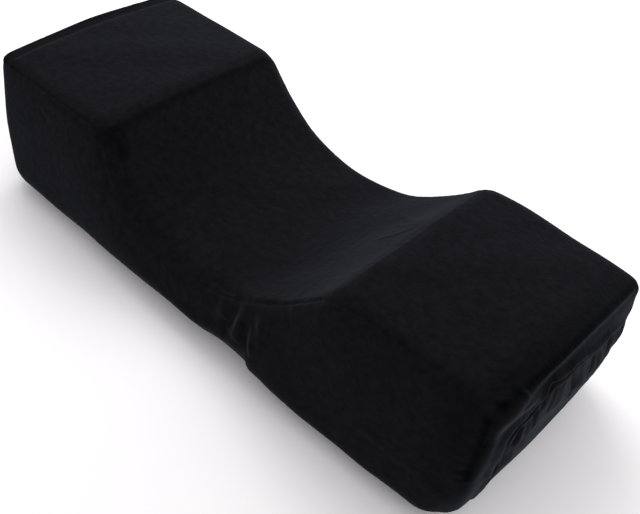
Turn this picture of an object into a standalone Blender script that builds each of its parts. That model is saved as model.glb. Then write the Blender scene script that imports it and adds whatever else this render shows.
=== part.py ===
"""Eyelash extension pillow: one long foam-filled cushion in a close velvet cover.

A client lies with the neck in the trough across the middle, and the raised wing at each end carries
the worker's wrists and tools. The cover is a long top strip, two side panels cut to the profile, two end
panels and a base, sewn into one closed form. X runs along the pillow, Y across it and Z up, in metres.
"""

import math

import bmesh
import bpy
import numpy as np
from mathutils import Vector

# Driving sizes of the filled cover, before its panels swell.
LENGTH = 0.481
WIDTH = 0.195
TROUGH_HEIGHT = 0.0535
TROUGH_X = -0.0077
RIDGE_ROUNDING = 0.010
CROWN = 0.0045

# The two wings. ridge: distance of the ridge from the middle; ridge_height and end_height: top of the
# wing at its ridge and at its end; power: how the trough climbs to it; lean: top of the end outward.
WINGS = {
    "left": {
        "ridge": 0.1185,
        "ridge_height": 0.1160,
        "end_height": 0.1105,
        "power": 2.70,
        "lean": 0.021,
    },
    "right": {
        "ridge": 0.1120,
        "ridge_height": 0.1255,
        "end_height": 0.1245,
        "power": 2.12,
        "lean": 0.007,
    },
}

# Radius of the long top edges: close to square on the wings, soft where the cover is pulled round.
EDGE_ROUNDS = (
    {"x": -0.240, "front": 0.007, "back": 0.006},
    {"x": -0.150, "front": 0.007, "back": 0.006},
    {"x": -0.115, "front": 0.014, "back": 0.009},
    {"x": -0.030, "front": 0.015, "back": 0.006},
    {"x": 0.030, "front": 0.008, "back": 0.006},
    {"x": 0.090, "front": 0.008, "back": 0.010},
    {"x": 0.112, "front": 0.010, "back": 0.014},
    {"x": 0.140, "front": 0.006, "back": 0.007},
    {"x": 0.240, "front": 0.006, "back": 0.006},
)
END_ROUND = 0.011
BASE_ROUND = 0.026

# How far the panels stand out from the straight block, and how far the sides spread at the base.
SIDE_BULGE = 0.0045
END_BULGE = 0.0060
BASE_SPREAD = 0.0145

# Sewn seams: a pinched line along each long top edge and each upright corner.
SEAM_DEPTH = 0.0009
SEAM_HALF_WIDTH = 0.0040

# Distances from an edge of the block at which it is divided, closest where the cloth turns or is sewn.
TOP_STEPS = (0.0, 0.003, 0.0065, 0.010, 0.014, 0.019, 0.025)
BASE_STEPS = (0.0, 0.005, 0.011, 0.018, 0.026)
SIDE_STEPS = (0.0, 0.003, 0.0065, 0.011, 0.017)
LENGTH_CELLS = 48
WIDTH_CELLS = 12
HEIGHT_CELLS = 6

# The block keeps its shape in these depths below the top and above the base.
TOP_ZONE = 0.025
BASE_ZONE = 0.018
BLOCK_HEIGHT = 0.120

# Rolls and grooves across each end, where the top strip turns down and meets the end panel.
# drop: distance down the end from its top edge, negative on the top; tilt: extra drop at the back;
# height: out from the cloth; width: half width; sway: wander up and down; waves: waves across the end.
END_ROLLS = {
    "left": (
        {"drop": 0.000, "tilt": 0.000, "height": 0.0010, "width": 0.004, "sway": 0.001, "waves": 1.1},
        {"drop": 0.012, "tilt": 0.000, "height": -0.0020, "width": 0.005, "sway": 0.002, "waves": 1.5},
        {"drop": 0.034, "tilt": 0.004, "height": 0.0014, "width": 0.010, "sway": 0.004, "waves": 1.1},
        {"drop": 0.055, "tilt": -0.004, "height": -0.0012, "width": 0.009, "sway": 0.005, "waves": 1.3},
    ),
    "right": (
        {"drop": 0.009, "tilt": 0.004, "height": -0.0014, "width": 0.005, "sway": 0.001, "waves": 1.1},
        {"drop": 0.019, "tilt": 0.008, "height": 0.0026, "width": 0.005, "sway": 0.003, "waves": 1.6},
        {"drop": 0.031, "tilt": 0.008, "height": -0.0026, "width": 0.006, "sway": 0.003, "waves": 1.5},
        {"drop": 0.046, "tilt": 0.006, "height": 0.0020, "width": 0.008, "sway": 0.005, "waves": 1.9},
        {"drop": 0.063, "tilt": 0.002, "height": -0.0020, "width": 0.008, "sway": 0.005, "waves": 1.2},
    ),
}

# Folds and puffs in the cover: a row for each, from a start to an end point on the cloth.
# width: half width; height: out from the cloth, or in if negative.
FOLDS = (
    # Gathers of the side panel below the trough.
    {"start": (0.034, -0.103, 0.034), "end": (0.041, -0.098, 0.058), "width": 0.005, "height": -0.0030},
    {"start": (0.043, -0.105, 0.030), "end": (0.049, -0.100, 0.056), "width": 0.005, "height": 0.0022},
    {"start": (0.052, -0.104, 0.022), "end": (0.057, -0.099, 0.060), "width": 0.005, "height": -0.0032},
    {"start": (0.064, -0.105, 0.018), "end": (0.066, -0.101, 0.058), "width": 0.005, "height": 0.0020},
    # The side panel is drawn in beside the gathers and stands out past them.
    {"start": (0.030, -0.104, 0.008), "end": (0.050, -0.104, 0.008), "width": 0.017, "height": -0.0042},
    {"start": (0.090, -0.105, 0.010), "end": (0.172, -0.105, 0.010), "width": 0.024, "height": 0.0022},
    {"start": (0.122, -0.105, 0.010), "end": (0.134, -0.105, 0.010), "width": 0.018, "height": 0.0010},
    # The cover pulled over the front of the trough.
    {"start": (0.004, -0.091, 0.056), "end": (0.040, -0.094, 0.064), "width": 0.005, "height": -0.0016},
    # Puckers under the front corner of the left ridge.
    {"start": (-0.123, -0.092, 0.112), "end": (-0.116, -0.092, 0.100), "width": 0.004, "height": -0.0018},
    {"start": (-0.113, -0.086, 0.112), "end": (-0.106, -0.086, 0.096), "width": 0.004, "height": -0.0018},
    {"start": (-0.118, -0.089, 0.112), "end": (-0.111, -0.089, 0.098), "width": 0.003, "height": 0.0012},
    # The right end's edge rises in one place where the seam is tight.
    {"start": (0.243, -0.078, 0.121), "end": (0.246, -0.058, 0.121), "width": 0.007, "height": 0.0030},
    # Creases running round the front corner of the right end.
    {"start": (0.222, -0.100, 0.050), "end": (0.238, -0.097, 0.056), "width": 0.005, "height": -0.0018},
    {"start": (0.222, -0.099, 0.064), "end": (0.238, -0.096, 0.070), "width": 0.005, "height": -0.0016},
    {"start": (0.224, -0.099, 0.057), "end": (0.240, -0.096, 0.063), "width": 0.004, "height": 0.0014},
)

# Long low waves in the cloth: height, and wavelength along X, Y and Z.
WAVES = (
    {"height": 0.0004, "length": (0.170, 0.240, 0.150), "phase": 0.4},
    {"height": 0.0003, "length": (0.090, -0.130, 0.110), "phase": 1.9},
    {"height": 0.0002, "length": (-0.055, 0.075, 0.080), "phase": 3.1},
)

# Velvet finish: near-black, with no shine of its own.
VELVET_COLOUR = (0.012, 0.012, 0.014, 1.0)
VELVET_ROUGHNESS = 0.9
FLAT_LIMIT = 1e-5


def clear_scene():
    for old in list(bpy.data.objects):
        bpy.data.objects.remove(old, do_unlink=True)


def smooth_step(value):
    value = min(max(value, 0.0), 1.0)
    return value * value * (3.0 - 2.0 * value)


def bump(distance, half_width):
    """A soft bell: 1 at no distance, and almost nothing past twice the half width."""
    return math.exp(-((distance / half_width) ** 2))


def profile_height(x):
    """Height of the top at x: a wing, or the trough between the two ridges."""
    left = x < TROUGH_X
    wing = WINGS["left" if left else "right"]
    out = -x if left else x
    rise = wing["end_height"] - wing["ridge_height"]
    wing_top = wing["ridge_height"] + rise * (out - wing["ridge"]) / (LENGTH / 2 - wing["ridge"])
    reach = wing["ridge"] + (TROUGH_X if left else -TROUGH_X)
    share = min(abs(x - TROUGH_X) / reach, 1.6)
    trough = TROUGH_HEIGHT + (wing["ridge_height"] - TROUGH_HEIGHT) * share ** wing["power"]
    blend = min(max(0.5 + 0.5 * (wing_top - trough) / RIDGE_ROUNDING, 0.0), 1.0)
    return wing_top * (1 - blend) + trough * blend - RIDGE_ROUNDING * blend * (1 - blend)


def edge_radius(x, side):
    places = [row["x"] for row in EDGE_ROUNDS]
    radii = [row[side] for row in EDGE_ROUNDS]
    return float(np.interp(x, places, radii))


def divisions(low, high, low_steps, high_steps, cells):
    """Places from low to high, at the given steps from each end and evenly spaced between them."""
    inner = np.linspace(low + low_steps[-1], high - high_steps[-1], cells + 1)
    places = [low + step for step in low_steps[1:-1]]
    places += [float(place) for place in inner]
    places += [high - step for step in high_steps[1:-1]]
    return sorted(places)


def divided_block():
    """A straight block, divided by planes along each axis."""
    mesh = bmesh.new()
    bmesh.ops.create_cube(mesh, size=1.0)
    bmesh.ops.scale(mesh, vec=(LENGTH, WIDTH, BLOCK_HEIGHT), verts=mesh.verts)
    bmesh.ops.translate(mesh, vec=(0.0, 0.0, BLOCK_HEIGHT / 2), verts=mesh.verts)
    planes = (
        ((1, 0, 0), divisions(-LENGTH / 2, LENGTH / 2, TOP_STEPS, TOP_STEPS, LENGTH_CELLS)),
        ((0, 1, 0), divisions(-WIDTH / 2, WIDTH / 2, SIDE_STEPS, SIDE_STEPS, WIDTH_CELLS)),
        ((0, 0, 1), divisions(0.0, BLOCK_HEIGHT, BASE_STEPS, TOP_STEPS, HEIGHT_CELLS)),
    )
    for normal, places in planes:
        for place in places:
            cut = [*mesh.verts, *mesh.edges, *mesh.faces]
            at = Vector(normal) * place
            bmesh.ops.bisect_plane(mesh, geom=cut, plane_co=at, plane_no=normal, dist=FLAT_LIMIT)
    return mesh


def rounded(point):
    """The block's point moved onto its rounded edges and corners."""
    middle = Vector((0.0, 0.0, BLOCK_HEIGHT / 2))
    half = Vector((LENGTH / 2, WIDTH / 2, BLOCK_HEIGHT / 2))
    low = smooth_step(1.0 - point.z / (BLOCK_HEIGHT / 2))
    side_radius = edge_radius(point.x, "front" if point.y < 0.0 else "back")
    side_radius += (BASE_ROUND - side_radius) * low
    end_radius = END_ROUND + (BASE_ROUND - END_ROUND) * low
    radii = Vector((end_radius, side_radius, side_radius))
    local = point - middle
    inner = Vector([min(max(local[i], radii[i] - half[i]), half[i] - radii[i]) for i in range(3)])
    out = Vector([(local[i] - inner[i]) / radii[i] for i in range(3)])
    furthest = max(abs(value) for value in out)
    if furthest > 0.0:
        out = out.normalized() * furthest
    return middle + inner + Vector([out[i] * radii[i] for i in range(3)])


def fitted(point):
    """The rounded block's point swollen, crowned, and brought down to the profile."""
    x, y, z = point
    across = y / (WIDTH / 2)
    along = x / (LENGTH / 2)
    up = min(max(z / BLOCK_HEIGHT, 0.0), 1.0)
    belly = 4.0 * up * (1.0 - up)
    swell = max(1.0 - across**2, 0.0)
    y += math.copysign(SIDE_BULGE * belly * abs(across) ** 3 * (1.0 - along**6), y)
    x += math.copysign(END_BULGE * belly * along**6 * swell, x)
    top = profile_height(x) + CROWN * swell
    top_start = BLOCK_HEIGHT - TOP_ZONE
    if z > top_start:
        z += top - BLOCK_HEIGHT
    elif z > BASE_ZONE:
        z = BASE_ZONE + (z - BASE_ZONE) * (top - TOP_ZONE - BASE_ZONE) / (top_start - BASE_ZONE)
    lean = math.copysign(WINGS["left" if x < 0.0 else "right"]["lean"], x)
    x += lean * along**4 * (z / BLOCK_HEIGHT - 0.5)
    y += across * BASE_SPREAD * (0.5 - z / BLOCK_HEIGHT)
    return Vector((x, y, z))


def seam_relief(block_point):
    """Pinch of the sewn seams, by the distance over the cloth from the block's edges."""
    from_end = LENGTH / 2 - abs(block_point.x)
    from_side = WIDTH / 2 - abs(block_point.y)
    from_top = BLOCK_HEIGHT - block_point.z
    nearest = min(from_side + from_top, from_end + from_side)
    return -SEAM_DEPTH * bump(nearest, SEAM_HALF_WIDTH)


def end_relief(block_point):
    """Rolls and grooves across the end that the point is on, faded out at the long sides."""
    from_end = LENGTH / 2 - abs(block_point.x)
    from_top = BLOCK_HEIGHT - block_point.z
    if min(from_end, from_top) > FLAT_LIMIT or block_point.z < FLAT_LIMIT:
        return 0.0
    drop = from_top if from_end < FLAT_LIMIT else -from_end
    across = block_point.y / (WIDTH / 2)
    fade = 1.0 - abs(across) ** 5
    total = 0.0
    for number, roll in enumerate(END_ROLLS["left" if block_point.x < 0 else "right"]):
        turn = math.pi * roll["waves"] * across + 1.9 * number
        place = roll["drop"] + roll["tilt"] * across + roll["sway"] * math.sin(turn)
        swell = 0.75 + 0.25 * math.cos(1.7 * turn)
        total += roll["height"] * swell * bump(drop - place, roll["width"])
    return total * fade


def fold_relief(point):
    """Sum of the folds at a point of the fitted cover."""
    total = 0.0
    for fold in FOLDS:
        start = Vector(fold["start"])
        run = Vector(fold["end"]) - start
        share = min(max((point - start).dot(run) / run.length_squared, 0.0), 1.0)
        distance = (point - start - run * share).length
        total += fold["height"] * bump(distance, fold["width"])
    return total


def wave_relief(point):
    total = 0.0
    for wave in WAVES:
        turns = sum(point[i] / wave["length"][i] for i in range(3))
        total += wave["height"] * math.sin(2.0 * math.pi * turns + wave["phase"])
    return total


def centre_on_base(mesh):
    """Centres the cover on the origin, with its base flat on Z = 0."""
    points = np.array([vert.co for vert in mesh.verts])
    middle = (points.min(axis=0) + points.max(axis=0)) / 2
    for vert in mesh.verts:
        vert.co.x -= middle[0]
        vert.co.y -= middle[1]
        vert.co.z = max(vert.co.z, 0.0)


def shape_cover(mesh):
    """Moves the block's points onto the filled cover: first its form, then what stands out from it."""
    block_points = {vert: vert.co.copy() for vert in mesh.verts}
    for vert, block_point in block_points.items():
        vert.co = fitted(rounded(block_point))
    centre_on_base(mesh)
    mesh.normal_update()
    moves = {}
    for vert, block_point in block_points.items():
        relief = seam_relief(block_point) + end_relief(block_point)
        relief += fold_relief(vert.co) + wave_relief(vert.co)
        moves[vert] = vert.normal * relief
        moves[vert].z *= smooth_step(vert.co.z / BASE_ROUND)
    for vert, move in moves.items():
        vert.co += move
    centre_on_base(mesh)


def velvet():
    material = bpy.data.materials.new("black_velvet")
    material.use_nodes = True
    shader = material.node_tree.nodes["Principled BSDF"]
    shader.inputs["Base Color"].default_value = VELVET_COLOUR
    shader.inputs["Roughness"].default_value = VELVET_ROUGHNESS
    shader.inputs["Metallic"].default_value = 0.0
    return material


def build_pillow(collection):
    cover = divided_block()
    shape_cover(cover)
    bmesh.ops.triangulate(cover, faces=cover.faces)
    bmesh.ops.recalc_face_normals(cover, faces=cover.faces)
    data = bpy.data.meshes.new("pillow")
    cover.to_mesh(data)
    cover.free()
    data.shade_smooth()
    data.materials.append(velvet())
    pillow = bpy.data.objects.new("pillow", data)
    collection.objects.link(pillow)


def main():
    clear_scene()
    collection = bpy.data.collections.new("eyelash_extension_pillow")
    bpy.context.scene.collection.children.link(collection)
    build_pillow(collection)


main()
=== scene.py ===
"""Eyelash extension pillow: a foam core in a black velvet cover, standing on a pale table."""

import math

import bpy
import numpy as np
from mathutils import Matrix, Vector
from mathutils.bvhtree import BVHTree


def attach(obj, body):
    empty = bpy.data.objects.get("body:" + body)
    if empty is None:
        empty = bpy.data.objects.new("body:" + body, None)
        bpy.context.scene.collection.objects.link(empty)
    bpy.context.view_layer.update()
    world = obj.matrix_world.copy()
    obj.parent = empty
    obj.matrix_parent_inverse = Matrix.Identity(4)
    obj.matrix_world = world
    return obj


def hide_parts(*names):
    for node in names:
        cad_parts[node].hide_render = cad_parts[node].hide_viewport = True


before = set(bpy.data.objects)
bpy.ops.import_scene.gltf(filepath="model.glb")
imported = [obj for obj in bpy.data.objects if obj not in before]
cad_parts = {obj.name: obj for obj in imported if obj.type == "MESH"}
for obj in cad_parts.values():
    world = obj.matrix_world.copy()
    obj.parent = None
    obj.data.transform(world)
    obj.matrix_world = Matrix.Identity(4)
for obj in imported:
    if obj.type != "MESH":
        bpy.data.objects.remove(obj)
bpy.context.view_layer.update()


# Cover on its core
# A black velvet cover is sewn to the form of a foam core, with two wings and a neck trough, and drawn
# over it. It lies close, swells a little between its seams and is flat where the pillow stands.
# the cover starts this far inside the core's surface and is made anew of faces of this width
COVER_START = 0.0008
VOXEL = 0.0045


def only(piece):
    """Makes this piece the one that is active and selected."""
    bpy.ops.object.select_all(action="DESELECT")
    piece.select_set(True)
    bpy.context.view_layer.objects.active = piece


def apply_modifier(piece, kind, **settings):
    """Adds a modifier with its settings and applies it."""
    only(piece)
    modifier = piece.modifiers.new(kind.lower(), kind)
    for name, value in settings.items():
        setattr(modifier, name, value)
    bpy.ops.object.modifier_apply(modifier=modifier.name)


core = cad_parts["pillow"]
cover = bpy.data.objects.new("velvet_cover", core.data.copy())
bpy.context.scene.collection.objects.link(cover)
cover.data.materials.clear()
only(cover)
bpy.ops.object.mode_set(mode="EDIT")
bpy.ops.mesh.select_all(action="SELECT")
bpy.ops.mesh.remove_doubles(threshold=0.00001)
bpy.ops.object.mode_set(mode="OBJECT")
core_surface = BVHTree.FromObject(cover, bpy.context.evaluated_depsgraph_get())
apply_modifier(cover, "DISPLACE", strength=-COVER_START, mid_level=0.0)
apply_modifier(cover, "REMESH", mode="VOXEL", voxel_size=VOXEL, use_smooth_shade=True)


# Seams
# The top strip is sewn to the side panels along the long edges and turns down over both ends. Each end
# panel is smaller than the end and is sewn in a loop a little inside its outline, slightly gathered.
# The seams hold the cover close to the core.
# each end's loop: its places across and up
RIGHT_END_LOOP = (
    (0.0740, 0.0150),
    (0.0790, 0.0500),
    (0.0805, 0.0800),
    (0.0770, 0.0900),
    (0.0620, 0.0990),
    (0.0490, 0.1040),
    (0.0360, 0.1040),
    (0.0250, 0.1050),
    (0.0080, 0.1095),
    (-0.0080, 0.1130),
    (-0.0160, 0.1120),
    (-0.0300, 0.1155),
    (-0.0370, 0.1160),
    (-0.0410, 0.1120),
    (-0.0435, 0.1045),
    (-0.0480, 0.0990),
    (-0.0600, 0.0960),
    (-0.0680, 0.0910),
    (-0.0710, 0.0840),
    (-0.0700, 0.0700),
    (-0.0690, 0.0500),
    (-0.0660, 0.0150),
)
LEFT_END_LOOP = (
    (-0.0700, 0.0150),
    (-0.0730, 0.0600),
    (-0.0760, 0.0930),
    (-0.0400, 0.0990),
    (0.0000, 0.0970),
    (0.0420, 0.0995),
    (0.0760, 0.0930),
    (0.0740, 0.0600),
    (0.0700, 0.0150),
)


def places_of(mesh):
    """The points of a mesh as an array."""
    places = np.empty(len(mesh.vertices) * 3, np.float32)
    mesh.vertices.foreach_get("co", places)
    return places.reshape(-1, 3).astype(float)


def normals_of(mesh):
    """The outward direction at each point of a mesh."""
    normals = np.empty(len(mesh.vertices) * 3, np.float32)
    mesh.vertex_normals.foreach_get("vector", normals)
    return normals.reshape(-1, 3).astype(float)


def set_places(mesh, places):
    """Moves the points of a mesh to these places."""
    mesh.vertices.foreach_set("co", places.astype(np.float32).ravel())
    mesh.update()


def smooth_line(points, spacing=0.004):
    """A smooth curve through a few points, as points about one spacing apart."""
    given = [Vector(p) for p in points]
    ends = [given[0] * 2 - given[1], *given, given[-1] * 2 - given[-2]]
    line = []
    for before, start, end, after in zip(ends, ends[1:], ends[2:], ends[3:]):
        steps = max(2, round((end - start).length / spacing))
        for step in range(steps):
            t = step / steps
            line.append(
                0.5
                * (
                    2 * start
                    + (end - before) * t
                    + (2 * before - 5 * start + 4 * end - after) * t * t
                    + (3 * start - 3 * end + after - before) * t * t * t
                )
            )
    line.append(given[-1])
    return line


def laid_on(line, surface):
    """The line with each point moved to the nearest place on a surface."""
    return np.array([surface.find_nearest(p)[0] for p in line])


def edge_line(places, outward, axis, start, end, spacing=0.008, average=7, crest=0.0006):
    """The line along a rounded edge: at each station the place furthest outward, evened along the edge."""
    direction = np.array(outward, float)
    found = []
    for station in np.linspace(start, end, max(3, round(abs(end - start) / spacing))):
        near = places[np.abs(places[:, axis] - station) < spacing]
        reach = near @ direction
        best = near[reach > reach.max() - crest].mean(0)
        best[axis] = station
        found.append(best)
    found = np.array(found)
    reach = average // 2
    padded = np.concatenate([found[:1]] * reach + [found] + [found[-1:]] * reach)
    evened = np.stack([padded[i : i + len(found)] for i in range(average)]).mean(0)
    evened[:, axis] = found[:, axis]
    return [Vector(p) for p in evened]


def along_line(places, line, reach=0.03):
    """For each place, its distance from a line and how far along the line its nearest point is.
    Places further off than the reach are given as far away."""
    distance = np.full(len(places), 1.0)
    along = np.zeros(len(places))
    beside = (places > line.min(0) - reach).all(1) & (places < line.max(0) + reach).all(1)
    near = places[beside]
    least = np.full(len(near), 1.0)
    at = np.zeros(len(near))
    done = 0.0
    for start, end in zip(line, line[1:]):
        run = end - start
        length = float(np.linalg.norm(run))
        if length < 1e-7:
            continue
        t = np.clip(((near - start) @ run) / length**2, 0, 1)
        gap = np.linalg.norm(near - start - t[:, None] * run, axis=1)
        at = np.where(gap < least, done + t * length, at)
        least = np.minimum(gap, least)
        done += length
    distance[beside] = least
    along[beside] = at
    return distance, along, done


settled = places_of(cover.data)
# each edge: the way that it faces, the axis that it runs along, and its ends on that axis
EDGE_SEAMS = {
    "front_top": edge_line(settled, (0, -1, 1), 0, -0.232, 0.232),
    "back_top": edge_line(settled, (0, 1, 1), 0, -0.232, 0.232),
    "front_base": edge_line(settled, (0, -1, -1), 0, -0.215, 0.215),
    "back_base": edge_line(settled, (0, 1, -1), 0, -0.215, 0.215),
    "left_base": edge_line(settled, (-1, 0, -1), 1, -0.080, 0.080),
    "right_base": edge_line(settled, (1, 0, -1), 1, -0.080, 0.080),
    "front_left_corner": edge_line(settled, (-1, -1, 0), 2, 0.022, 0.100),
    "front_right_corner": edge_line(settled, (1, -1, 0), 2, 0.022, 0.108),
    "back_left_corner": edge_line(settled, (-1, 1, 0), 2, 0.022, 0.100),
    "back_right_corner": edge_line(settled, (1, 1, 0), 2, 0.022, 0.108),
}
# the pressure that swells the cover and for how many steps, how far it may move at most, and how
# many times its movement is evened out
SWELL_PRESSURE = 4.0
SWELL_FRAMES = 20
SWELL_LIMIT = 0.0022
SWELL_EVENING = 60
# cloth below this height is the flat base, and a seam holds the cloth out to this distance, most
# firmly on the seam itself
FLAT_BASE = 0.0035
SEAM_HOLD = 0.007
HOLD_AT_SEAM = 1.2
# the cover is then drawn to this far outside the core, and above this height with no share left out
COVER_STAND = 0.0006
SETTLE_EVENING = 6
BASE_RISE = 0.012
BASE_SHARE = 0.3
# how far each end swells out at most, the height of that place and how far it spreads up and down
RIGHT_FULLNESS = (0.0030, 0.055, 0.040)
LEFT_FULLNESS = (0.0028, 0.075, 0.035)
# this fullness starts at this distance from the middle and grows over this length
FULLNESS_START = 0.2
FULLNESS_LENGTH = 0.045


def evened(mesh, values, rounds):
    """Values at the points of a mesh, each evened out with its neighbours' a number of times."""
    edges = np.empty(len(mesh.edges) * 2, np.int32)
    mesh.edges.foreach_get("vertices", edges)
    first, second = edges.reshape(-1, 2).T
    count = np.bincount(edges, minlength=len(values)).astype(float)[:, None]
    for _ in range(rounds):
        total = np.stack(
            [
                np.bincount(first, values[second, i], len(values))
                + np.bincount(second, values[first, i], len(values))
                for i in range(values.shape[1])
            ],
            axis=1,
        )
        values = (values + total / count) / 2
    return values


def hold_group(piece, lines):
    """A vertex group that holds the flat base, and the seams a little, while the cover swells."""
    places = places_of(piece.data)
    hold = np.zeros(len(places))
    for line in lines:
        distance = along_line(places, np.array(line))[0]
        hold = np.maximum(hold, np.clip(HOLD_AT_SEAM - distance / SEAM_HOLD, 0, 1))
    hold[places[:, 2] < FLAT_BASE] = 1
    group = piece.vertex_groups.new(name="held")
    for index, weight in enumerate(hold):
        if weight > 0:
            group.add([index], float(weight), "REPLACE")
    return group


def swell(piece, lines):
    """Cloth under a light pressure from inside, with the seams held and each point's movement limited."""
    group = hold_group(piece, lines)
    start = places_of(piece.data)
    cloth = piece.modifiers.new("cloth", "CLOTH")
    cloth.settings.quality = 5
    cloth.settings.mass = 0.3
    cloth.settings.tension_stiffness = 15
    cloth.settings.compression_stiffness = 15
    cloth.settings.bending_stiffness = 0.8
    cloth.settings.vertex_group_mass = group.name
    cloth.settings.use_pressure = True
    cloth.settings.uniform_pressure_force = SWELL_PRESSURE
    cloth.settings.effector_weights.gravity = 0
    cloth.point_cache.frame_start = 1
    cloth.point_cache.frame_end = SWELL_FRAMES
    for step in range(1, SWELL_FRAMES + 1):
        bpy.context.scene.frame_set(step)
    swollen = piece.evaluated_get(bpy.context.evaluated_depsgraph_get())
    moved = places_of(swollen.data) - start
    piece.modifiers.remove(cloth)
    piece.vertex_groups.clear()
    bpy.context.scene.frame_set(1)
    moved = evened(piece.data, moved, SWELL_EVENING)
    length = np.linalg.norm(moved, axis=1)
    share = np.minimum(1, SWELL_LIMIT / np.maximum(length, 1e-9))
    set_places(piece.data, start + moved * share[:, None])


def settle(piece, surface):
    """Draws the cover back on to the core, so that it keeps the core's size and its firm edges."""
    places = places_of(piece.data)
    normals = normals_of(piece.data)
    found = np.array([surface.find_nearest(place)[0] for place in places])
    height = np.einsum("ij,ij->i", found - places, normals) + COVER_STAND
    height = evened(piece.data, height[:, None], SETTLE_EVENING)[:, 0]
    rise = np.clip(places[:, 2] / BASE_RISE, 0, 1)
    places += normals * (height * (BASE_SHARE + (1 - BASE_SHARE) * rise))[:, None]
    right = np.clip((places[:, 0] - FULLNESS_START) / FULLNESS_LENGTH, 0, 1)
    left = np.clip((-places[:, 0] - FULLNESS_START) / FULLNESS_LENGTH, 0, 1)
    ends = ((1, right, *RIGHT_FULLNESS), (-1, left, *LEFT_FULLNESS))
    for side, share, fullness, middle, half in ends:
        swell_up = np.exp(-(((places[:, 2] - middle) / half) ** 2))
        places[:, 0] += side * fullness * share**2 * swell_up
    lowest = places[:, 2].min()
    places[:, 2] -= lowest * (1 - rise)
    set_places(piece.data, places)


swell(cover, EDGE_SEAMS.values())
apply_modifier(cover, "SUBSURF", levels=1, render_levels=1)
settle(cover, core_surface)
# the seams on both ends are laid on from this far out
END_BEYOND = 0.27


def divide_near(piece, lines, reach):
    """Divides the faces near some lines once more, so that a seam or a fold is finer than the rest."""
    places = places_of(piece.data)
    near = np.zeros(len(places), bool)
    for line in lines:
        near |= along_line(places, line)[0] < reach
    only(piece)
    bpy.ops.object.mode_set(mode="EDIT")
    bpy.ops.mesh.select_all(action="DESELECT")
    bpy.ops.object.mode_set(mode="OBJECT")
    corners = np.empty(len(piece.data.loops), np.int32)
    piece.data.loops.foreach_get("vertex_index", corners)
    starts = np.empty(len(piece.data.polygons), np.int32)
    piece.data.polygons.foreach_get("loop_start", starts)
    chosen = np.logical_and.reduceat(near[corners], starts)
    piece.data.polygons.foreach_set("select", chosen)
    bpy.ops.object.mode_set(mode="EDIT")
    bpy.ops.mesh.select_mode(type="FACE")
    bpy.ops.mesh.subdivide(number_cuts=1, smoothness=0.0, ngon=True)
    bpy.ops.object.mode_set(mode="OBJECT")


def end_loop(points, side, surface):
    """A seam on an end face, from its places across and up, laid on the cover from outside."""
    line = smooth_line([(0, across, up) for across, up in points])
    hits = [surface.ray_cast((side * END_BEYOND, p.y, p.z), (-side, 0, 0))[0] for p in line]
    return np.array([hit for hit in hits if hit is not None])


cover_surface = BVHTree.FromObject(cover, bpy.context.evaluated_depsgraph_get())
SEAM_LINES = {name: laid_on(line, cover_surface) for name, line in EDGE_SEAMS.items()}
SEAM_LINES["right_end"] = end_loop(RIGHT_END_LOOP, 1, cover_surface)
SEAM_LINES["left_end"] = end_loop(LEFT_END_LOOP, -1, cover_surface)
# half width of a seam's groove, and the place and half width of the raised cloth beside it
SEAM_WIDTH = 0.0010
WELT_OFFSET = 0.0028
WELT_WIDTH = 0.0018
# seam: depth of its groove, height of the cloth beside it, both in metres
SEAM_FORMS = {
    "front_top": (0.0009, 0.0003),
    "back_top": (0.0009, 0.0003),
    "front_base": (0.0008, 0.0002),
    "back_base": (0.0008, 0.0002),
    "left_base": (0.0008, 0.0002),
    "right_base": (0.0008, 0.0002),
    "right_end": (0.0018, 0.0012),
    "left_end": (0.0014, 0.0008),
}
# over the slopes of the trough the long seams lie softer: place along, share of the form
LONG_SEAM_SHARES = (
    (-0.240, 1.0),
    (-0.118, 1.0),
    (-0.104, 0.15),
    (-0.010, 0.15),
    (0.012, 0.9),
    (0.095, 1.2),
    (0.112, 0.7),
    (0.150, 0.8),
    (0.200, 0.5),
    (0.225, 0.1),
)


def sew(piece, lines):
    """Presses each seam in as a narrow groove, with the cloth a little proud on both its sides."""
    places = places_of(piece.data)
    normals = normals_of(piece.data)
    relief = np.zeros(len(places))
    for name, (depth, height) in SEAM_FORMS.items():
        distance = along_line(places, lines[name])[0]
        groove = -depth * np.exp(-((distance / SEAM_WIDTH) ** 2))
        welt = height * np.exp(-(((distance - WELT_OFFSET) / WELT_WIDTH) ** 2))
        share = 1.0
        if name in ("front_top", "back_top"):
            share = np.interp(places[:, 0], *zip(*LONG_SEAM_SHARES))
        relief += (groove + welt) * share
    set_places(piece.data, places + normals * relief[:, None])


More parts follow.
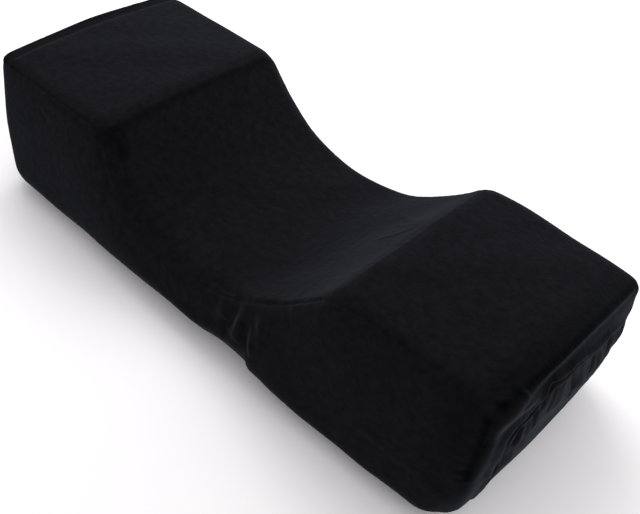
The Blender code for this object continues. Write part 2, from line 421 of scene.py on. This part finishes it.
# Folds
# Spare velvet is gathered below the trough, puckered under the left ridge's corner and eased into the
# right end's seam. The folds are soft, with the pile over them, and fade out at their ends.
# folds: the places along it, its half width and its height, in millimetres
FOLDS = {
    "lip of the left end": (
        ((-244, 88, 108), (-245, 45, 111.5), (-246, 0, 113), (-245, -50, 111), (-243, -90, 107)),
        2.6,
        2.0,
    ),
    "dip inside the lip": (((-238, 86, 113), (-239, 0, 117), (-238, -86, 112)), 2.2, -0.9),
    "slope of the right end's top band": (
        ((248, 82, 119), (248.5, 20, 121.5), (248.5, -40, 121.5), (248, -70, 119)),
        3.4,
        -1.5,
    ),
    "right end's top edge": (
        ((244, 80, 124), (245, 20, 126.3), (245, -40, 126.3), (244.5, -66, 125)),
        2.0,
        0.6,
    ),
    "roll over the right end's seam": (
        (
            (247.5, 74, 96), (248.5, 49, 107.5), (249, 25, 108.5),
            (249, 8, 113), (249, -16, 116), (249, -34, 119),
        ),
        2.6,
        1.3,
    ),
    "roll beside the right end's seam": (
        ((248, -52, 103), (247, -66, 99), (246, -76, 90), (245, -76, 70), (245, -75, 50)),
        3.0,
        1.3,
    ),
    "bump at the right end": (((244, -60, 124.5), (244, -72, 125), (243, -81, 123)), 5.0, 1.8),
    "dip above the bump": (((238, -64, 126), (237, -78, 125)), 3.5, -1.0),
    "crest of the left ridge": (((-118.5, -76, 116), (-118.5, 0, 119), (-118.5, 84, 116)), 2.6, 0.6),
    "crest of the right ridge": (((112, -84, 126), (112, 0, 130), (112, 84, 126)), 2.6, 0.6),
    "trough's front fold": (
        ((6, -90, 55), (34, -91.5, 61), (44, -92, 65), (68, -91.5, 79.5), (82, -93, 89.5)),
        2.2,
        -1.1,
    ),
    "dip at the fold's start": (((11, -91, 53), (20, -92, 55), (30, -92, 58)), 4.0, -0.9),
    "gather 1": (((39, -93, 59), (42, -99, 54), (40, -101, 46), (33, -102, 37), (38, -104, 31)), 3.4, -1.3),
    "gather 2": (((49, -99, 56), (51, -101, 46), (57, -104, 38), (64, -106, 28)), 3.4, -1.3),
    "gather 3": (((55, -97, 60), (63, -102, 52), (67, -105, 40), (72, -106, 28)), 3.4, -1.0),
    "gather 4": (((24, -97, 54), (20, -100, 44), (18, -103, 32)), 4.0, -0.9),
    "puff between 1": (((31, -99, 50), (32, -101, 40)), 4.4, 1.3),
    "puff between 2": (((45, -99, 54), (46, -102, 44), (48, -104, 36)), 4.0, 1.2),
    "puff between 3": (((57, -99, 56), (61, -103, 44), (66, -105, 34)), 3.6, 0.9),
    "low gather": (((24, -103, 26), (33, -103.6, 29.4), (42, -104.3, 33), (52, -104, 31)), 3.0, -1.0),
    "pucker 1": (
        ((-127, -86.7, 111), (-123.3, -89, 108), (-120, -91.6, 101.8), (-111, -95, 90), (-99.5, -97, 74)),
        2.6,
        -1.2,
    ),
    "pucker 2": (
        ((-121, -85.3, 110.6), (-114.5, -88.5, 103.8), (-106, -92, 92), (-96, -94, 80)),
        2.6,
        -1.2,
    ),
    "pucker 3": (
        ((-116.7, -79, 112), (-112.8, -82.3, 105.7), (-107.3, -85, 97), (-98, -89, 86)),
        2.8,
        -1.4,
    ),
    "pucker 4": (((-115.3, -75.5, 111.4), (-109, -79.5, 102.8), (-102, -82.5, 94)), 2.8, -1.2),
    "pucker 5": (((-114.5, -68, 111), (-109, -67, 104.6), (-103, -65, 97.7)), 3.0, -0.8),
    "stroke 1 on the left side": (((-186, -94, 99), (-176, -94, 100.4), (-165, -94, 101)), 2.6, -0.5),
    "stroke 2 on the left side": (((-190, -95, 91.7), (-176.6, -95.5, 92)), 2.6, -0.5),
    "ray 1 under the right ridge": (
        ((104, 16, 119), (97.5, 7, 112.4), (89.7, 3.8, 104.6), (80, 0, 95)),
        2.4,
        0.5,
    ),
    "ray 2 under the right ridge": (
        ((101, 21, 116), (92, 28, 106), (80, 38, 94), (67.8, 50, 83)),
        2.6,
        0.5,
    ),
    "ray 3 under the right ridge": (((102, 18, 117), (90, 22, 104), (78, 28, 92)), 2.2, 0.45),
    "corner hook": (((226, -88, 121), (233, -88.3, 120.4), (238.4, -89.4, 113.6)), 2.2, -0.9),
    "corner line 1": (
        ((241.7, -85.6, 122.4), (241.7, -87.5, 115), (242, -88, 104), (242, -89, 95)),
        2.2,
        -0.9,
    ),
    "corner line 2": (((234, -90, 112), (235, -92, 98), (236, -94, 84)), 3.0, -0.8),
    "end fold 1": (((249.5, -26.8, 110), (248.5, -33, 101), (248, -36, 92)), 2.4, -1.6),
    "end fold 2": (((247.5, -40, 100), (247.5, -42, 85), (247, -40, 70)), 2.4, -1.5),
    "end fold 3": (((247, -57, 93), (246.5, -58, 85), (246.5, -62, 76)), 2.2, -1.5),
    "end fold 4": (((245.7, -67, 84), (245.7, -66, 74), (244.5, -60, 51), (243, -58, 30)), 2.8, -1.8),
    "end roll 1": (((246.5, -53, 92), (246.8, -56, 82), (245, -52, 62), (245, -50, 45)), 2.8, 1.5),
    "end roll 2": (((248, -46, 90), (247.5, -44, 78), (246, -36, 53)), 2.8, 1.4),
    "end roll 3": (((249, -12, 106), (248.8, -11, 90), (248, -13, 76)), 3.0, 1.3),
    "end fold 5": (((249, -2, 106), (249, 5, 88), (248, 12, 66)), 2.6, -1.4),
    "end roll 4": (((249, 12, 104), (249, 16, 90), (248, 20, 72)), 3.0, 1.2),
    "end fold 6": (((248.5, 30, 100), (248, 34, 86), (247, 30, 70)), 2.6, -1.4),
    "end roll 5": (((248, 42, 100), (247, 46, 86), (246, 44, 66)), 2.8, 1.2),
    "end fold 7": (((247, 60, 96), (246, 62, 84), (246, 56, 70)), 2.6, -1.4),
    "end fold 8": (((249, -20, 109), (248.5, -22, 95), (248, -24, 80)), 2.4, -1.3),
    "low pucker 1": (((231, -97.4, 66.6), (236.4, -95.4, 70.4), (239.6, -92.4, 73.2)), 2.0, -0.9),
    "low pucker 2": (((233, -97.7, 61.2), (239.8, -94.2, 64.2)), 2.0, -0.9),
    "long side fold 1": (
        ((163, -102.4, 48), (176, -102, 48), (189, -102, 45.7), (201, -101.5, 46.7)),
        3.0,
        0.6,
    ),
    "long side fold 2": (((183, -101.6, 52), (196, -101.3, 51.7), (208, -101.3, 44.4)), 3.0, 0.5),
}
# each fold rises and ends over this length
FOLD_FADE = 0.006
FOLD_LINES = {
    name: laid_on(smooth_line([Vector(p) / 1000 for p in points]), cover_surface)
    for name, (points, width, height) in FOLDS.items()
}
# folds narrower than this, and all seams, have finer cloth faces out to this distance
FINE_WIDTH = 2.7
FINE_REACH = 0.0042
narrow = [FOLD_LINES[name] for name, (points, width, height) in FOLDS.items() if width < FINE_WIDTH]
divide_near(cover, [SEAM_LINES[name] for name in SEAM_FORMS] + narrow, FINE_REACH)


def fold(piece, lines):
    """Raises or presses in each fold as a soft ridge that fades out at both its ends."""
    places = places_of(piece.data)
    normals = normals_of(piece.data)
    relief = np.zeros(len(places))
    for name, (points, width, height) in FOLDS.items():
        distance, along, length = along_line(places, lines[name])
        ends = np.clip(np.minimum(along, length - along) / FOLD_FADE, 0, 1)
        ridge = np.exp(-((distance / (width / 1000)) ** 2))
        relief += height / 1000 * ridge * ends * (2 - ends)
    set_places(piece.data, places + normals * relief[:, None])


fold(cover, FOLD_LINES)
sew(cover, SEAM_LINES)
only(cover)
bpy.ops.object.shade_smooth()


# Black velvet
# A woven cloth with a short dense polyester pile, dyed black and brushed by use. Seen straight on it
# takes in nearly all the light, and towards a grazing angle its fibres catch it as a cool grey sheen.
VELVET_BLACK = "#0C0B0D"
VELVET_BRUSHED = "#131215"
# the near black of the painted shade
PAINTED_SHADE_BLACK = "#020202"
PILE_SHEEN = "#D6E6F6"
SHEEN_WEIGHT = 0.066
SHEEN_ROUGHNESS = 0.45
PILE_ROUGHNESS = 0.95
PILE_GLOSS = 0.0
# width of a brush mark and of a tuft of pile, drawn coarser than it is so that it shows, and
# how deep each is
BRUSH_MARK = 0.006
PILE_GRAIN = 0.0016
BRUSH_DEPTH = 0.0012
PILE_DEPTH = 0.0003
# painted shade on tight edges, crests, the lip and creases: the places along it, half width in millimetres,
# share
PAINTED_SHADE_BANDS = (
    (((242, 84, 124.5), (242.5, 20, 127), (242.5, -40, 127), (241, -70, 126), (239, -80, 124.5)), 4.6, 1.0),
    (((233, 70, 126), (234, 20, 128.5), (234, -40, 128.5), (232, -78, 126)), 9.0, 0.45),
    (((238, -89, 116), (240, -90, 100), (240.5, -92, 80), (239.5, -93, 55)), 5.0, 0.9),
    (((224, -92, 112), (226, -95, 90), (226, -97, 60)), 16.0, 0.35),
    (((-246, 88, 110), (-248, 0, 113), (-246, -88, 108)), 4.0, 1.0),
    (((-116, -84, 115), (-116, 0, 118), (-116, 84, 115)), 4.0, 0.45),
    (((-119, -86, 108), (-112, -82, 104), (-106, -82, 98)), 6.0, 0.5),
)


def linear(hex_colour):
    """An sRGB hex colour as linear red, green, blue and alpha."""
    channels = [int(hex_colour[i : i + 2], 16) / 255 for i in (1, 3, 5)]
    return [c / 12.92 if c <= 0.04045 else ((c + 0.055) / 1.055) ** 2.4 for c in channels] + [1.0]


def add_node(tree, kind, links=(), **settings):
    """Adds one node: settings are its properties or its sockets' values, links are socket pairs into it."""
    node = tree.nodes.new(kind)
    for name, value in settings.items():
        if hasattr(node, name):
            setattr(node, name, value)
        else:
            node.inputs[name.replace("_", " ")].default_value = value
    for source, target in links:
        tree.links.new(source, node.inputs[target])
    return node


def paint_shade(piece, surface):
    """Stores at each point how much painted shade darkens the cloth there."""
    places = places_of(piece.data)
    painted_shade = np.zeros(len(places))
    for points, width, share in PAINTED_SHADE_BANDS:
        line = laid_on(smooth_line([Vector(p) / 1000 for p in points]), surface)
        distance = along_line(places, line)[0]
        painted_shade = np.maximum(painted_shade, share * np.exp(-((distance / (width / 1000)) ** 2)))
    attribute = piece.data.attributes.new("painted_shade", "FLOAT", "POINT")
    attribute.data.foreach_set("value", painted_shade.astype(np.float32))


def velvet():
    """Black velvet with brush marks, a fine pile and painted shade on its tight edges and creases."""
    material = bpy.data.materials.new("black_velvet")
    material.use_nodes = True
    tree = material.node_tree
    shader = tree.nodes["Principled BSDF"]
    shader.inputs["Roughness"].default_value = PILE_ROUGHNESS
    shader.inputs["Specular IOR Level"].default_value = PILE_GLOSS
    shader.inputs["Sheen Weight"].default_value = SHEEN_WEIGHT
    shader.inputs["Sheen Roughness"].default_value = SHEEN_ROUGHNESS
    shader.inputs["Sheen Tint"].default_value = linear(PILE_SHEEN)
    place = add_node(tree, "ShaderNodeTexCoord").outputs["Object"]
    marks = add_node(
        tree, "ShaderNodeTexNoise", [(place, "Vector")], Scale=1 / BRUSH_MARK, Detail=4.0, Roughness=0.6
    )
    grain = add_node(
        tree, "ShaderNodeTexNoise", [(place, "Vector")], Scale=1 / PILE_GRAIN, Detail=2.0, Roughness=0.5
    )
    brushing = add_node(tree, "ShaderNodeValToRGB", [(marks.outputs["Fac"], "Fac")])
    brushing.color_ramp.elements[0].position = 0.3
    brushing.color_ramp.elements[0].color = linear(VELVET_BLACK)
    brushing.color_ramp.elements[1].position = 0.7
    brushing.color_ramp.elements[1].color = linear(VELVET_BRUSHED)
    # painted shade: the stored share mixes the base colour towards near black
    painted_shade_node = add_node(tree, "ShaderNodeAttribute", attribute_name="painted_shade")
    shade = add_node(
        tree,
        "ShaderNodeMixRGB",
        [(painted_shade_node.outputs["Fac"], "Fac"), (brushing.outputs["Color"], "Color1")],
        Color2=linear(PAINTED_SHADE_BLACK),
    )
    tree.links.new(shade.outputs["Color"], shader.inputs["Base Color"])
    brushed = add_node(
        tree, "ShaderNodeBump", [(marks.outputs["Fac"], "Height")], Strength=0.5, Distance=BRUSH_DEPTH
    )
    piled = add_node(
        tree,
        "ShaderNodeBump",
        [(grain.outputs["Fac"], "Height"), (brushed.outputs["Normal"], "Normal")],
        Strength=0.4,
        Distance=PILE_DEPTH,
    )
    tree.links.new(piled.outputs["Normal"], shader.inputs["Normal"])
    return material


# painted shade along tight edges, crests, the lip and creases is stored on the cover
paint_shade(cover, cover_surface)
cover.data.materials.append(velvet())
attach(cover, "root")
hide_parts("pillow")


# Table
# The pillow stands loose on a table top covered with matt white paper, which reaches past the
# view on every side.
TABLE_WHITE = "#F4F4F4"
TABLE_SIZE = 6.0


def paper():
    """Matt white paper."""
    material = bpy.data.materials.new("white_paper")
    material.use_nodes = True
    shader = material.node_tree.nodes["Principled BSDF"]
    shader.inputs["Base Color"].default_value = linear(TABLE_WHITE)
    shader.inputs["Roughness"].default_value = 0.9
    shader.inputs["Specular IOR Level"].default_value = 0.1
    return material


bpy.ops.object.select_all(action="DESELECT")
bpy.ops.mesh.primitive_plane_add(size=TABLE_SIZE, location=(0, 0, 0))
table = bpy.context.active_object
table.name = "table_top"
table.data.materials.append(paper())


# Light
# A white room all round gives an even light. Two wide soft lamps add a little shape, one above
# the left end and one low behind the right end.
ROOM_WHITE = "#FFFBFE"
ROOM_STRENGTH = 0.9
# lamp: its place, its power in watts and the width of its soft face, in metres
LAMPS = {
    "lamp_above_left": ((-0.6, 0.35, 1.0), 7.5, 0.8),
    "lamp_low_behind": ((0.7, 1.3, 0.45), 9.0, 0.8),
}

room = bpy.data.worlds.new("white_room")
room.use_nodes = True
background = room.node_tree.nodes["Background"]
background.inputs["Color"].default_value = linear(ROOM_WHITE)
background.inputs["Strength"].default_value = ROOM_STRENGTH
bpy.context.scene.world = room
for name, (place, power, width) in LAMPS.items():
    bpy.ops.object.light_add(type="AREA", location=place)
    lamp = bpy.context.active_object
    lamp.name = name
    lamp.data.energy = power
    lamp.data.size = width
    lamp.rotation_euler = (-Vector(place)).to_track_quat("-Z", "Y").to_euler()
bpy.context.scene.view_settings.view_transform = "Standard"


# Camera
# It stands in front of the pillow and to the right, and looks down at its front and right end.
# It is turned a little about its own axis, so that the pillow lies aslant in the view.
VIEW_AZIMUTH = math.radians(34.671)
VIEW_ELEVATION = math.radians(43.114)
VIEW_ROLL = math.radians(11.140)
VIEW_TARGET = Vector((0.03778, -0.00550, 0.05))
VIEW_DISTANCE = 0.75956
LENS = 55.13

back = Vector(
    (
        math.sin(VIEW_AZIMUTH) * math.cos(VIEW_ELEVATION),
        -math.cos(VIEW_AZIMUTH) * math.cos(VIEW_ELEVATION),
        math.sin(VIEW_ELEVATION),
    )
)
level = Vector((0, 0, 1)).cross(back).normalized()
upright = back.cross(level)
right = level * math.cos(VIEW_ROLL) + upright * math.sin(VIEW_ROLL)
up = upright * math.cos(VIEW_ROLL) - level * math.sin(VIEW_ROLL)
turn = Matrix((right, up, back)).transposed().to_4x4()
camera = bpy.data.objects.new("camera", bpy.data.cameras.new("camera"))
camera.data.lens = LENS
camera.data.sensor_width = 36.0
camera.matrix_world = Matrix.Translation(VIEW_TARGET + back * VIEW_DISTANCE) @ turn
bpy.context.scene.collection.objects.link(camera)
bpy.context.scene.camera = camera
